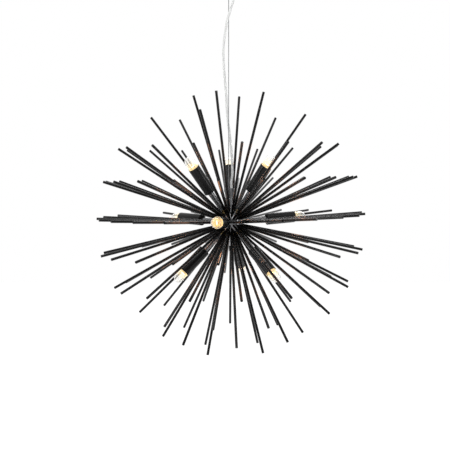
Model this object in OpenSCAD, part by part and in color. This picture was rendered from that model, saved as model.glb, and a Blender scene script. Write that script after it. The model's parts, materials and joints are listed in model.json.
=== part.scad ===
// Starburst pendant: a round hub with ten rings of plain rods and three rings of
// three lamps, hung on a steel wire with a clear cable wound loosely about it.
// Millimetres, +Z up. The origin is on the ceiling, on the wire's own line.
// A direction from the hub is a lift above level and a turn seen from above,
// 0 toward -Y and growing toward +X.

/* [Hanging] */
// Height from the ceiling down to the middle of the hub
drop = 600; // [560:10:900]
// How far the hub leans off plumb, toward -X at its top
lean = 1.2; // [0:0.2:2]
// Wire thickness
wire_d = 1.8; // [1.4:0.2:2]
// Cable thickness
cable_d = 5.6; // [5:0.2:6]

/* [Hub] */
// Outside diameter of the ball
hub_d = 60; // [60:1:64]
// Thickness of the ball's shell
hub_wall = 8; // [7:0.5:9]
// Outside diameter of the threaded tube through the ball
tube_d = 8; // [7.6:0.2:8]

/* [Rods] */
// From the middle of the hub to a rod's tip
rod_reach = 310; // [260:5:340]
// Rod diameter
rod_d = 6; // [5:0.2:6]
// Diameter of the threaded root of a rod
root_d = 4; // [3:0.2:4]
// Depth of the threaded root in the shell
root_in = 5; // [4:0.5:5]

/* [Lamps] */
// From the middle of the hub to a shade's mouth
mouth = 160; // [150:1:170]
// Length of a shade
shade_len = 70; // [62:1:74]
// Outside diameter of a shade
shade_d = 27; // [26:0.5:29]
// Thickness of a shade's wall
shade_wall = 1.2; // [1:0.1:1.4]
// Diameter of a lamp's stem
stem_d = 12; // [11:0.5:12]
// Diameter of a bulb's glass
glass_d = 22.4; // [20:0.4:22.4]
// How far a bulb stands out of its shade
bulb_out = 28; // [20:1:34]

/* [Canopy] */
// Outside diameter of the ceiling cup
cup_d = 120; // [110:2:150]
// Height of the ceiling cup
cup_h = 26; // [26:1:34]
// Wall of the ceiling cup
cup_wall = 1.2; // [1:0.1:1.6]
// Distance between the two mounting screws
screw_gap = 72; // [68:1:76]

/* [Hidden] */
$fn = 48;
fit = 0.04;      // added to a bore's diameter over its pin or thread
loose = 0.1;     // added to a bore's diameter over what slides in it
gap = 0.3;       // left between curved faces that don't touch

black = [0.07, 0.07, 0.075];
steel = [0.72, 0.73, 0.75];
brass = [0.72, 0.58, 0.30];
smoke = [0.20, 0.20, 0.22];
clear = [0.85, 0.9, 0.92, 0.4];
white = [0.92, 0.91, 0.88];

// Rings of rods and lamps: lift, places round the ring, turn of the first place,
// every how many places a lamp takes one (0 for none)
crown = [74, 4, -18, 0];
lamps_high = [53.5, 9, -59, 3];
high = [34.5, 16, 6, 0];
half_up = [19, 20, -4.5, 0];
level = [3, 24, -10.4, 8];
half_down = [-12.5, 20, -5, 0];
low = [-28, 16, 4, 0];
lamps_low = [-43.2, 12, -70.6, 4];
under = [-58, 8, 2.5, 0];
foot = [-73.2, 4, 49, 0];
upper_rings = [crown, lamps_high, high, half_up, level];
lower_rings = [half_down, low, lamps_low, under, foot];
lamp_rings = [lamps_high, level, lamps_low];
function place(ring, i) = [ring[0], ring[2] + i * 360 / ring[1]];
function is_lamp(ring, i) = ring[3] > 0 && i % ring[3] == 0;

// Hub
hub_r = hub_d / 2;
hub_in = hub_r - hub_wall;
split_gap = 0.25;
split_h = hub_in * sin(level[0]) - tube_d / 2 - split_gap;   // under the level lamps' threads
rod_seat = 0.2;                   // a rod's shoulder stands this far off the ball
rod_bevel = 0.4;
tube_bore = tube_d - 3;
tube_top = 69;
tube_end = -61;
lead_hole = 4.4;                  // lets the leads out of the tube, inside the ball
lead_hole_z = 10;
connector_d = 34;
connector_low = -4;
connector_top = 2;
connector_y = 7.6;                // where the leads enter it
cap_d = tube_d + 3;
cap_top = -54;
cap_end = -67;
cap_bevel = 1;

// Top fitting on the tube: a cup that takes the tube, and a lid that holds the
// wire's crimped stop and the cable
cup_low = 57;
chamber_low = 67.5;
chamber_d = 14;
fitting_d = 18;
fitting_top = 76;
lid_d = 21;
lid_low = 70;
lid_top = 80;
stop_d = 4.4;
stop_low = 69.2;
wire_off = -3.4;
cable_off = 3;
cable_low = stop_low + 3;         // the cable ends here, over its two leads
lead_apart = 1.1;                 // from the cable's middle to either lead
hub_lead_d = 1.6;
hub_x = -wire_off * cos(lean) + lid_top * sin(lean);

// Lamp, measured outward from the middle of the hub
nipple_in = hub_in - 1;
lead_in = nipple_in - 3;
nipple_out = 47;
stem_in = 38;
stem_out = mouth - shade_len;
stem_bore = 6;
neck_d = 10;
neck_out = stem_out + 10;
nut_in = stem_out + 2;
nut_out = nut_in + 3;
nut_d = 16.2;
holder_in = nut_out + gap;
holder_floor = neck_out + gap;
holder_base = holder_floor + 3;
holder_mouth = stem_out + 42;
shell_low = holder_base + 2;
shell_top = holder_mouth - 1;
holder_d = 21;
socket_d = 15.4;
contact_pin = 3;
contact_d = 5;
lead_hole_x = 4.6;                // lets a lead up through the holder's floor to the shell
lead_hole_d = 2;
lamp_lead_x = 1.2;
cap_r = 6.95;                     // the small screw cap of a candle lamp
cap_skin = 0.5;
cap_play = 0.16;
lead_x = 1.3;                     // the lead wires stand either side of the lamp's axis
contact_z = stem_out + 17;
cap_z = contact_z + 4;
cap_rim = cap_z + 17;
glass_tip = mouth + bulb_out;
glass_r = glass_d / 2;
shoulder = cap_rim + 11;
glass_flare = holder_mouth + gap;
glass_wall = 0.8;

// Ceiling end
plate_t = 2;
plate_w = 24;
plate_z = -12;                    // underside of the bracket's lowered middle
plate_half = 26;
foot_half = 50;
screw_hole = 5;
grip_nut_d = 18;
grip_nut_h = 5;
ring_d = 20;
ring_h = 6;
grip_d = 13;
grip_low = -40;
grip_top = -3;                    // top of the gripper's threaded neck
nose_d = 9;
nose_low = -52;
collar_d = 11;
collar_low = -51.5;
collar_top = -42;
pivot_z = -48;                    // the wire leans about the balls that hold it
ball_d = 1.6;
ball_r = wire_d / 2 + 0.2 + ball_d / 2;
ball_bore = 2 * ball_r + ball_d + 2 * gap;
swing = 6;                        // furthest lean of the wire, either way
wire_over = 2;                    // how far the wire reaches above the balls
swing_room = 0.9;                 // left round the wire at its furthest lean
flare_d = wire_d + 2 * swing_room + 2 * (pivot_z - nose_low) * tan(swing) * sqrt(2);
ball_seat = pivot_z - ball_d / 2 - gap - 0.2;
spring_d = 4.6;
spring_wire = 0.6;
spring_pitch = 2.4;
spring_turns = 5;
cup_round = 4;
gland_x = 22;
gland_neck = 12;
gland_d = 16;
gland_h = 7;                      // its flange below the cup, and its thread above
gland_tip_d = gland_d - 5;
gland_tip_h = 3;
gland_low = -cup_h - gland_h - gland_tip_h;
locknut_d = 19;
locknut_h = 3.5;
post_x = -17;                     // middle of the terminal block
post_y = 8;                       // its two fixing screws, either side
wire_y = 4;                       // its two pairs of clamping screws
block_x = 12;
block_y = 24;
block_z = 9.5;
block_bore = 3.2;
small_screw = 3;
clamp_h = 3;
screw_sunk = 0.5;
lead_d = 1.8;
lead_z = plate_z - 5;             // the supply leads lie level at this height

// The cable's route: points in the pendant's frame, x and y from the wire
// and the height below the ceiling
route = [
  [22, 0, -22],
  [22, 0, -37],
  [22, 0, -47],
  [18, -3, -66],
  [11, -6, -90],
  [3, -7, -115],
  [-4, -6, -140],
  [-9, -3, -170],
  [-12, 1, -200],
  [-11.5, 4, -230],
  [-9, 6, -265],
  [-6, 7, -300],
  [-4, 6.5, -335],
  [-1, 6, -370],
  [3, 5, -400],
  [6, 3, -430],
  [8, 1, -460],
  [8.5, 0, -490]
];
loop_z = -230;                    // below this the route stretches with the drop
route_end = -490;
over_hub = 110;                   // where the route's last point stands above the hub

// ---- placing ----

module at_hub() {
  translate([hub_x, 0, -drop]) rotate([0, -lean, 0]) children();
}

// stands its children, drawn along +Z from the hub's middle, in a direction
module along(dir) {
  rotate([0, 0, dir[1] - 90]) rotate([0, 90 - dir[0], 0]) children();
}

module at_lamps(rings = lamp_rings) {
  for (ring = rings)
    for (i = [0 : ring[3] : ring[1] - 1])
      at_hub() along(place(ring, i)) children();
}

// lamps 1-3 are the high ring, 4-6 the level ring, 7-9 the low ring
module at_lamp(k) {
  ring = lamp_rings[floor((k - 1) / 3)];
  at_hub() along(place(ring, ring[3] * ((k - 1) % 3))) children();
}

// a round bar between two points
module bar(p, q, d) {
  v = q - p;
  translate(p)
    rotate([0, acos(v[2] / norm(v)), atan2(v[1], v[0])])
      cylinder(h = norm(v), d = d, $fn = 24);
}

module tube(z0, z1, d, bore) {
  translate([0, 0, z0]) difference() {
    cylinder(h = z1 - z0, d = d);
    translate([0, 0, -1]) cylinder(h = z1 - z0 + 2, d = bore);
  }
}

// a cord of m sides swept through points, none of them running along flank
module cord(points, d, m = 8, flank = [0, 1, 0]) {
  n = len(points);
  r = d / 2;
  function dir_at(i) =
    let (v = points[min(i + 1, n - 1)] - points[max(i - 1, 0)]) v / norm(v);
  function side(v) = let (s = cross(v, flank)) s / norm(s);
  rings = [for (i = [0 : n - 1])
    let (v = dir_at(i), s = side(v), t = cross(v, s))
      for (k = [0 : m - 1]) points[i] + r * (cos(k * 360 / m) * s + sin(k * 360 / m) * t)];
  sides = [for (i = [0 : n - 2], k = [0 : m - 1])
    let (a = i * m + k, b = i * m + (k + 1) % m)
      each [[a, b, b + m], [a, b + m, a + m]]];
  ends = [[for (k = [m - 1 : -1 : 0]) k], [for (k = [0 : m - 1]) (n - 1) * m + k]];
  polyhedron(points = rings, faces = concat(sides, ends), convexity = 6);
}

// points every few millimetres on a smooth curve through hand-set ones
function smooth(p, steps) = [
  for (i = [0 : len(p) - 2], s = [0 : steps - 1])
    let (a = p[max(i - 1, 0)], b = p[i], c = p[i + 1], e = p[min(i + 2, len(p) - 1)], t = s / steps)
      0.5 * (2 * b + (c - a) * t + (2 * a - 5 * b + 4 * c - e) * t * t
        + (3 * b - a - 3 * c + e) * t * t * t),
  p[len(p) - 1]
];

// ---- ceiling end ----

module ceiling_bracket() {
  color(steel) difference() {
    union() {
      translate([-plate_half, -plate_w / 2, plate_z])
        cube([2 * plate_half, plate_w, plate_t]);
      for (s = [-1, 1]) {
        translate([s * (plate_half - plate_t / 2) - plate_t / 2, -plate_w / 2, plate_z])
          cube([plate_t, plate_w, -plate_z]);
        translate([s * (plate_half + foot_half - plate_t) / 2 - (foot_half - plate_half + plate_t) / 2,
          -plate_w / 2, -plate_t])
          cube([foot_half - plate_half + plate_t, plate_w, plate_t]);
      }
    }
    translate([0, 0, plate_z - 1]) cylinder(h = plate_t + 2, d = neck_d + fit);
    for (s = [-1, 1])
      translate([s * screw_gap / 2, 0, -plate_t - 1]) cylinder(h = plate_t + 2, d = screw_hole);
    for (s = [-1, 1])
      translate([post_x, s * post_y, plate_z - 1]) cylinder(h = plate_t + 2, d = small_screw + fit);
  }
}

module bracket_nut() {
  color(steel) translate([0, 0, plate_z + plate_t]) difference() {
    cylinder(h = grip_nut_h, d = grip_nut_d, $fn = 6);
    translate([0, 0, -1]) cylinder(h = grip_nut_h + 2, d = neck_d + fit);
  }
}

module canopy_cup() {
  r = cup_d / 2;
  round_r = cup_round;
  color(black) difference() {
    union() {
      translate([0, 0, -cup_h + round_r]) cylinder(h = cup_h - round_r, r = r, $fn = 96);
      translate([0, 0, -cup_h]) cylinder(h = round_r, r = r - round_r, $fn = 96);
      translate([0, 0, -cup_h + round_r])
        rotate_extrude($fn = 96) translate([r - round_r, 0]) circle(r = round_r);
    }
    translate([0, 0, -cup_h + round_r])
      cylinder(h = cup_h, r = r - cup_wall, $fn = 96);
    translate([0, 0, -cup_h + cup_wall])
      cylinder(h = round_r, r = r - round_r, $fn = 96);
    translate([0, 0, -cup_h + round_r])
      rotate_extrude($fn = 96) translate([r - round_r, 0]) circle(r = round_r - cup_wall);
    translate([0, 0, -cup_h - 1]) cylinder(h = 4, d = grip_d + 2 * gap);
    translate([gland_x, 0, -cup_h - 1]) cylinder(h = 4, d = gland_neck + fit);
  }
}

module canopy_ring() {
  color(steel) tube(-cup_h - ring_h, -cup_h, ring_d, grip_d + loose);
}

module canopy_gland() {
  color(black) translate([gland_x, 0, 0]) difference() {
    union() {
      translate([0, 0, -cup_h]) cylinder(h = gland_h, d = gland_neck);
      translate([0, 0, -cup_h - gland_h]) cylinder(h = gland_h, d = gland_d);
      translate([0, 0, gland_low]) cylinder(h = gland_tip_h + 1, d = gland_tip_d);
    }
    translate([0, 0, gland_low - 1]) cylinder(h = cup_h, d = cable_d + 2 * gap);
  }
}

module gland_locknut() {
  color(black) translate([gland_x, 0, -cup_h + cup_wall]) difference() {
    cylinder(h = locknut_h, d = locknut_d, $fn = 6);
    translate([0, 0, -1]) cylinder(h = locknut_h + 2, d = gland_neck + fit);
  }
}

module terminal_block() {
  color(white) difference() {
    translate([post_x - block_x / 2, -block_y / 2, plate_z - block_z])
      cube([block_x, block_y, block_z]);
    for (s = [-1, 1]) {
      translate([post_x - block_x, s * wire_y, lead_z])
        rotate([0, 90, 0]) cylinder(h = 2 * block_x, d = block_bore);
      translate([post_x, s * wire_y, lead_z - block_z])
        cylinder(h = block_z, d = small_screw + fit);
      translate([post_x, s * post_y, lead_z - block_z])
        cylinder(h = 2 * block_z, d = small_screw + fit);
    }
  }
}

module terminal_screws() {
  low_z = plate_z - block_z + screw_sunk;
  color(brass) for (s = [-1, 1]) {
    translate([post_x, s * wire_y, low_z]) cylinder(h = clamp_h, d = small_screw);
    translate([post_x, s * post_y, low_z])
      cylinder(h = plate_z + plate_t - low_z, d = small_screw);
  }
}

module supply_leads() {
  color(smoke) for (s = [-1, 1])
    cord([
      [gland_x, s * 1.3, route[0][2] + loose],
      [gland_x, s * 1.3, -cup_h + gland_h + 0.6],
      [gland_x - 2, s * 2.8, lead_z + 0.2],
      [12, s * 10, lead_z],
      [0, s * 12, lead_z],
      [-5, s * 9, lead_z],
      [-8, s * wire_y, lead_z],
      [-14, s * wire_y, lead_z]
    ], lead_d);
}

module gripper_body() {
  color(steel) difference() {
    union() {
      translate([0, 0, plate_z - 1]) cylinder(h = grip_top - plate_z + 1, d = neck_d);
      translate([0, 0, grip_low]) cylinder(h = plate_z - grip_low, d = grip_d);
      translate([0, 0, nose_low]) cylinder(h = grip_low - nose_low, d = nose_d);
    }
    translate([0, 0, nose_low - 1]) cylinder(h = grip_top - nose_low, d = flare_d);
    translate([0, 0, ball_seat]) cylinder(h = grip_top - ball_seat + 1, d = ball_bore);
  }
}

module gripper_collar() {
  color(steel) tube(collar_low, collar_top, collar_d, nose_d + loose);
}

// three balls wedge the wire in the nose
module gripper_balls() {
  color(steel) for (a = [30 : 120 : 270])
    rotate([0, 0, a]) translate([ball_r, 0, pivot_z]) sphere(d = ball_d);
}

// presses the balls down, and rises inside the body
module gripper_spring() {
  low_z = pivot_z + ball_d / 2 + 2 * gap + spring_wire / 2;
  color(steel) cord([for (k = [0 : 12 * spring_turns])
    [spring_d / 2 * cos(30 * k), spring_d / 2 * sin(30 * k), low_z + k * spring_pitch / 12]],
    spring_wire, flank = [0, 0, 1]);
}

// ---- wire, cable and top fitting ----

// heights of the wire's lower end and of its stop, on the wire's own plumb line
function under_wire(h) = -drop + h * cos(lean) + wire_off * sin(lean);

module suspension_wire() {
  low_z = under_wire(stop_low);
  color(steel) translate([0, 0, low_z]) cylinder(h = pivot_z + wire_over - low_z, d = wire_d, $fn = 24);
}

module power_cable() {
  stretch = (loop_z + drop - over_hub) / (loop_z - route_end);
  top = [for (p = route) [p[0], p[1], p[2] < loop_z ? loop_z + (p[2] - loop_z) * stretch : p[2]]];
  low = [for (h = [lid_top + 14, lid_top + 5, cable_low])
    [hub_x + cable_off * cos(lean) - h * sin(lean), 0, -drop + h * cos(lean) + cable_off * sin(lean)]];
  color(clear) cord(smooth(concat(top, low), 3), cable_d, m = 12);
}

module wire_stop() {
  color(steel) tube(under_wire(stop_low), under_wire(fitting_top - gap), stop_d, wire_d + fit);
}

module top_fitting() {
  color(black) at_hub() difference() {
    translate([0, 0, cup_low]) cylinder(h = fitting_top - cup_low, d = fitting_d);
    translate([0, 0, cup_low - 1]) cylinder(h = 14, d = tube_d + fit);
    translate([0, 0, chamber_low]) cylinder(h = 12, d = chamber_d);
  }
}

module fitting_lid() {
  color(black) at_hub() difference() {
    translate([0, 0, lid_low]) cylinder(h = lid_top - lid_low, d = lid_d);
    translate([0, 0, lid_low - 1]) cylinder(h = fitting_top - lid_low + 1, d = fitting_d + fit);
    translate([wire_off, 0, lid_low]) cylinder(h = 20, d = wire_d + 2 * gap);
    translate([cable_off, 0, lid_low]) cylinder(h = 20, d = cable_d + 2 * gap);
  }
}

module centre_tube() {
  color(steel) at_hub() difference() {
    translate([0, 0, tube_end]) cylinder(h = tube_top - tube_end, d = tube_d);
    translate([0, 0, tube_end - 1]) cylinder(h = tube_top - tube_end + 2, d = tube_bore);
    translate([0, 0, lead_hole_z]) rotate([90, 0, 0])
      cylinder(h = 2 * tube_d, d = lead_hole, center = true);
  }
}

module tube_cap() {
  color(black) at_hub() difference() {
    union() {
      translate([0, 0, cap_end + cap_bevel])
        cylinder(h = cap_top - cap_end - cap_bevel, d = cap_d);
      translate([0, 0, cap_end]) cylinder(h = cap_bevel, d1 = cap_d - 2 * cap_bevel, d2 = cap_d);
    }
    translate([0, 0, tube_end]) cylinder(h = -tube_end, d = tube_d + fit);
  }
}

// ---- hub ----

module rod_bore(dir) {
  along(dir) translate([0, 0, hub_r - root_in - gap]) cylinder(h = hub_r, d = root_d + fit, $fn = 24);
}

module shell(rings) {
  difference() {
    sphere(r = hub_r, $fn = 96);
    sphere(r = hub_in, $fn = 96);
    cylinder(h = 2 * hub_d, d = tube_d + fit, center = true);
    for (ring = rings)
      for (i = [0 : ring[1] - 1])
        if (is_lamp(ring, i))
          along(place(ring, i)) translate([0, 0, hub_in - 4]) cylinder(h = hub_r, d = tube_d + fit);
        else
          rod_bore(place(ring, i));
    children();
  }
}

module hub_upper() {
  color(smoke) at_hub() shell(upper_rings)
    translate([-hub_d, -hub_d, split_h]) mirror([0, 0, 1]) cube(2 * hub_d);
}

module hub_lower() {
  color(smoke) at_hub() shell(lower_rings)
    translate([-hub_d, -hub_d, split_h]) cube(2 * hub_d);
}

module hub_connector() {
  color(white) at_hub() tube(connector_low, connector_top, connector_d, tube_d + loose);
}

module hub_leads() {
  color(smoke) at_hub() for (s = [-1, 1])
    cord([
      [cable_off, s * lead_apart, cable_low - loose],
      [cable_off, s * lead_apart, cable_low - 1],
      [1, s * lead_apart, tube_top + 0.4],
      [0, s * 1.3, tube_top - 3],
      [0, s * 1.3, lead_hole_z + 6],
      [0, s * 1.4, lead_hole_z + 1.2],
      [0, s * 5.5, lead_hole_z - 0.4],
      [0, s * connector_y, lead_hole_z - 4],
      [0, s * connector_y, connector_top]
    ], hub_lead_d);
}

// ---- rods ----

module rod() {
  z0 = hub_r + rod_seat;
  z1 = rod_reach - rod_bevel;
  translate([0, 0, hub_r - root_in]) cylinder(h = root_in + 2 * rod_seat, d = root_d, $fn = 24);
  translate([0, 0, z0]) cylinder(h = z1 - z0, d = rod_d, $fn = 32);
  translate([0, 0, z1]) cylinder(h = rod_bevel, d1 = rod_d, d2 = rod_d - 2 * rod_bevel, $fn = 32);
}

module rod_ring(ring) {
  color(black) for (i = [0 : ring[1] - 1])
    if (!is_lamp(ring, i))
      at_hub() along(place(ring, i)) rod();
}

// ---- lamps ----

module lamp_nipples() {
  color(brass) at_lamps() tube(nipple_in, nipple_out, tube_d, tube_bore);
}

module lamp_stems() {
  color(black) at_lamps() difference() {
    union() {
      translate([0, 0, stem_in]) cylinder(h = stem_out - stem_in, d = stem_d);
      translate([0, 0, stem_out - 1]) cylinder(h = neck_out - stem_out + 1, d = neck_d);
    }
    translate([0, 0, stem_in - 1]) cylinder(h = nipple_out + gap - stem_in + 1, d = tube_d + fit);
    translate([0, 0, stem_in]) cylinder(h = neck_out, d = stem_bore);
  }
}

module stem_nuts() {
  color(steel) at_lamps() difference() {
    translate([0, 0, nut_in]) cylinder(h = nut_out - nut_in, d = nut_d, $fn = 6);
    translate([0, 0, nut_in - 1]) cylinder(h = nut_out - nut_in + 2, d = neck_d + fit);
  }
}

module lamp_shades() {
  color(black) at_lamps() difference() {
    translate([0, 0, stem_out]) cylinder(h = shade_len, d = shade_d);
    translate([0, 0, nut_in]) cylinder(h = shade_len, d = shade_d - 2 * shade_wall);
    translate([0, 0, stem_out - 1]) cylinder(h = nut_out - stem_out, d = neck_d + fit);
  }
}

module lamp_holders() {
  color(smoke) at_lamps() difference() {
    translate([0, 0, holder_in]) cylinder(h = holder_mouth - holder_in, d = holder_d);
    translate([0, 0, holder_in - 1]) cylinder(h = holder_floor - holder_in + 1, d = neck_d + fit);
    translate([0, 0, holder_base]) cylinder(h = holder_mouth - holder_in, d = socket_d + fit);
    translate([0, 0, holder_floor - 1])
      cylinder(h = holder_base - holder_floor + 2, d = contact_pin + fit);
    translate([lead_hole_x, 0, holder_floor - 1])
      cylinder(h = holder_base - holder_floor + 2, d = lead_hole_d);
  }
}

module holder_shells() {
  color(brass) at_lamps() tube(shell_low, shell_top, socket_d, 2 * cap_r + cap_play);
}

module holder_contacts() {
  color(brass) at_lamps() {
    translate([0, 0, holder_floor - loose])
      cylinder(h = holder_base - holder_floor + gap, d = contact_pin);
    translate([0, 0, holder_base + loose])
      cylinder(h = contact_z - holder_base - 2 * loose, d = contact_d);
  }
}

module lamp_leads() {
  color(smoke) at_lamps() for (s = [-1, 1])
    translate([s * lamp_lead_x, 0, lead_in])
      cylinder(h = holder_floor - gap - lead_in, d = lead_d, $fn = 24);
}

// cap, solder button, two lead wires and the coil they carry, all soldered together
module bulb_cap(k) {
  inner = cap_r - cap_skin;
  thin_d = 0.6;
  joint_d = 0.9;
  spread = 4.5;
  coil = cap_rim + 36;
  bend = coil - 18;
  knee = coil - 12;
  color(brass) at_lamp(k) {
    rotate_extrude($fn = 48) polygon([
      [0, contact_z], [2.6, contact_z], [3, contact_z + 1], [6, cap_z - 0.5], [cap_r, cap_z],
      [cap_r, cap_rim], [inner, cap_rim], [inner, cap_z + 1], [0, cap_z + 1]
    ]);
    for (s = [-1, 1]) {
      bar([s * lead_x, 0, cap_z], [s * lead_x, 0, bend], thin_d);
      translate([s * lead_x, 0, bend]) sphere(d = joint_d, $fn = 24);
      bar([s * lead_x, 0, bend], [s * spread, 0, knee], thin_d);
      translate([s * spread, 0, knee]) sphere(d = joint_d, $fn = 24);
      bar([s * spread, 0, knee], [s * spread, 0, coil], thin_d);
    }
    bar([-spread - 0.4, 0, coil], [spread + 0.4, 0, coil], 1.1);
  }
}

// blown envelope with the solid stem that carries the lead wires
module bulb_glass(k) {
  wall = glass_wall;
  neck_r = cap_r - cap_skin - fit / 2;
  low_z = cap_z + 3;
  color(clear) at_lamp(k) difference() {
    union() {
      difference() {
        union() {
          translate([0, 0, low_z]) cylinder(h = shoulder - low_z, r = neck_r);
          translate([0, 0, glass_flare])
            cylinder(h = shoulder - glass_flare, r1 = neck_r, r2 = glass_r);
          translate([0, 0, shoulder]) cylinder(h = glass_tip - glass_r - shoulder, r = glass_r);
          translate([0, 0, glass_tip - glass_r]) sphere(r = glass_r);
        }
        translate([0, 0, low_z + 1]) cylinder(h = shoulder - low_z, r = neck_r - wall);
        translate([0, 0, glass_flare])
          cylinder(h = shoulder - glass_flare, r1 = neck_r - wall, r2 = glass_r - wall);
        translate([0, 0, shoulder - 0.01])
          cylinder(h = glass_tip - glass_r - shoulder + 0.01, r = glass_r - wall);
        translate([0, 0, glass_tip - glass_r]) sphere(r = glass_r - wall);
      }
      translate([0, 0, low_z]) cylinder(h = 18, d = 4.6);
    }
    for (s = [-1, 1])
      translate([s * lead_x, 0, low_z - 1]) cylinder(h = 24, d = 0.7, $fn = 24);
  }
}

ceiling_bracket();
bracket_nut();
canopy_cup();
canopy_ring();
canopy_gland();
gland_locknut();
terminal_block();
terminal_screws();
supply_leads();
gripper_body();
gripper_collar();
gripper_balls();
gripper_spring();
suspension_wire();
wire_stop();
power_cable();
top_fitting();
fitting_lid();
centre_tube();
tube_cap();
hub_upper();
hub_lower();
hub_connector();
hub_leads();
rod_ring(crown);  // rods_crown
rod_ring(lamps_high);  // rods_lamps_high
rod_ring(high);  // rods_high
rod_ring(half_up);  // rods_half_up
rod_ring(level);  // rods_level
rod_ring(half_down);  // rods_half_down
rod_ring(low);  // rods_low
rod_ring(lamps_low);  // rods_lamps_low
rod_ring(under);  // rods_under
rod_ring(foot);  // rods_foot
lamp_nipples();
lamp_stems();
stem_nuts();
lamp_shades();
lamp_holders();
holder_shells();
holder_contacts();
lamp_leads();
bulb_cap(1);  // bulb_cap_1
bulb_cap(2);  // bulb_cap_2
bulb_cap(3);  // bulb_cap_3
bulb_cap(4);  // bulb_cap_4
bulb_cap(5);  // bulb_cap_5
bulb_cap(6);  // bulb_cap_6
bulb_cap(7);  // bulb_cap_7
bulb_cap(8);  // bulb_cap_8
bulb_cap(9);  // bulb_cap_9
bulb_glass(1);  // bulb_glass_1
bulb_glass(2);  // bulb_glass_2
bulb_glass(3);  // bulb_glass_3
bulb_glass(4);  // bulb_glass_4
bulb_glass(5);  // bulb_glass_5
bulb_glass(6);  // bulb_glass_6
bulb_glass(7);  // bulb_glass_7
bulb_glass(8);  // bulb_glass_8
bulb_glass(9);  // bulb_glass_9
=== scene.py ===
import json
import math

import bpy
import numpy as np
from bpy.props import FloatProperty, FloatVectorProperty, IntProperty, PointerProperty
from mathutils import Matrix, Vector


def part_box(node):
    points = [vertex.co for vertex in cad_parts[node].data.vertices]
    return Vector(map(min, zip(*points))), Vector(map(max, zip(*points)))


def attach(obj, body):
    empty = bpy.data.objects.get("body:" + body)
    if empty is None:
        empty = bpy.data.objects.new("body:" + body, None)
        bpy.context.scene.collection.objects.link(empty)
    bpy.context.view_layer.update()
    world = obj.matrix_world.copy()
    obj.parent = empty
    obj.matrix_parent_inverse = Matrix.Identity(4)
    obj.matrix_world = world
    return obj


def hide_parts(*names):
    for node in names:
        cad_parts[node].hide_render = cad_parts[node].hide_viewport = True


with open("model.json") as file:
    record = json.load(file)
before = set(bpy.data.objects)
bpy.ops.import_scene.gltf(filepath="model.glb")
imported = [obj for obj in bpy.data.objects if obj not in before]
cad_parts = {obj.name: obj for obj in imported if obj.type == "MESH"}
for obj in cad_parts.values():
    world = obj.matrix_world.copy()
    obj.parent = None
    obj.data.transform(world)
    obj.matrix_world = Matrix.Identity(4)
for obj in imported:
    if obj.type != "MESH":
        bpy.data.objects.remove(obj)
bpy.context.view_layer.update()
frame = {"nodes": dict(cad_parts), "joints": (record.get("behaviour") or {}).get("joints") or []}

bl_info = {
    "name": "Starburst pendant",
    "version": (1, 0, 0),
    "blender": (4, 5, 0),
    "location": "View3D > Sidebar > Starburst",
    "description": "Dresses a starburst pendant: cable, wire, lamps, finishes and stage",
    "category": "Object",
}

MM = 0.001

# ---- Places, measured on the frame ----


def unit(vectors):
    """Each vector at a length of one."""
    return vectors / np.linalg.norm(vectors, axis=-1, keepdims=True)


def middle(node):
    """The middle of a node's box."""
    low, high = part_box(node)
    return (np.array(low) + np.array(high)) / 2


def ball_middle():
    """The two shells make a full ball, so the middle of their common box is its centre."""
    boxes = np.array([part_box("hub_upper"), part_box("hub_lower")], float)
    return (boxes[:, 0].min(axis=0) + boxes[:, 1].max(axis=0)) / 2


HUB = ball_middle()
UP = unit(middle("fitting_lid") - HUB)
SIDE = np.array([UP[2], 0.0, -UP[0]])
LAMP_CONE = 0.2  # a lamp's own parts lie off its axis by less than this share of their reach


class Line:
    """An axis to turn shapes about: an origin, its direction and two square sides."""

    def __init__(self, origin, axis, x):
        self.origin = np.array(origin, float)
        self.axis = unit(np.array(axis, float))
        self.x = unit(np.array(x, float) - np.dot(x, self.axis) * self.axis)
        self.y = np.cross(self.axis, self.x)

    def measure(self, points):
        """How far each point lies along this line, and how far off it."""
        away = points - self.origin
        along = away @ self.axis
        return along, np.linalg.norm(away - along[:, None] * self.axis, axis=1)

    def near(self, node, cone=LAMP_CONE):
        """measure of a node's vertices that lie within a cone about the line."""
        mesh = frame["nodes"][node].data
        co = np.zeros(len(mesh.vertices) * 3)
        mesh.vertices.foreach_get("co", co)
        along, off = self.measure(co.reshape(-1, 3))
        inside = off < cone * along
        return along[inside], off[inside]

    def span(self, node, cone=LAMP_CONE):
        """Lowest and highest reach of a node along this line, and its greatest distance off."""
        along, off = self.near(node, cone)
        return along.min(), along.max(), off.max()


LAMPS = {
    int(j["name"].split("_")[1]): Line(HUB, j["axis"], -UP)
    for j in frame["joints"]
    if j["name"].startswith("bulb_")
}


def upright(x=0.0, up=1):
    """An upright line, pointing up or down, through the wire or beside it at x."""
    return Line((x, 0, 0), (0, 0, up), (1, 0, 0))


# ---- Surfaces ----


ARC_STEPS = 5  # points on a rounded corner
ASKEW = (0.3, 1, 0.2)  # a direction that no path starts along


def ring_faces(rows, sides, wrap):
    """Quads between neighbouring rows: row i and side j join rows i, i + 1 and sides j, j + 1."""
    i = np.arange(rows if wrap else rows - 1)[:, None]
    j = np.arange(sides)[None, :]
    near, far = i * sides, (i + 1) % rows * sides
    after = (j + 1) % sides
    return np.stack([near + j, near + after, far + after, far + j], axis=-1).reshape(-1, 4)


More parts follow.
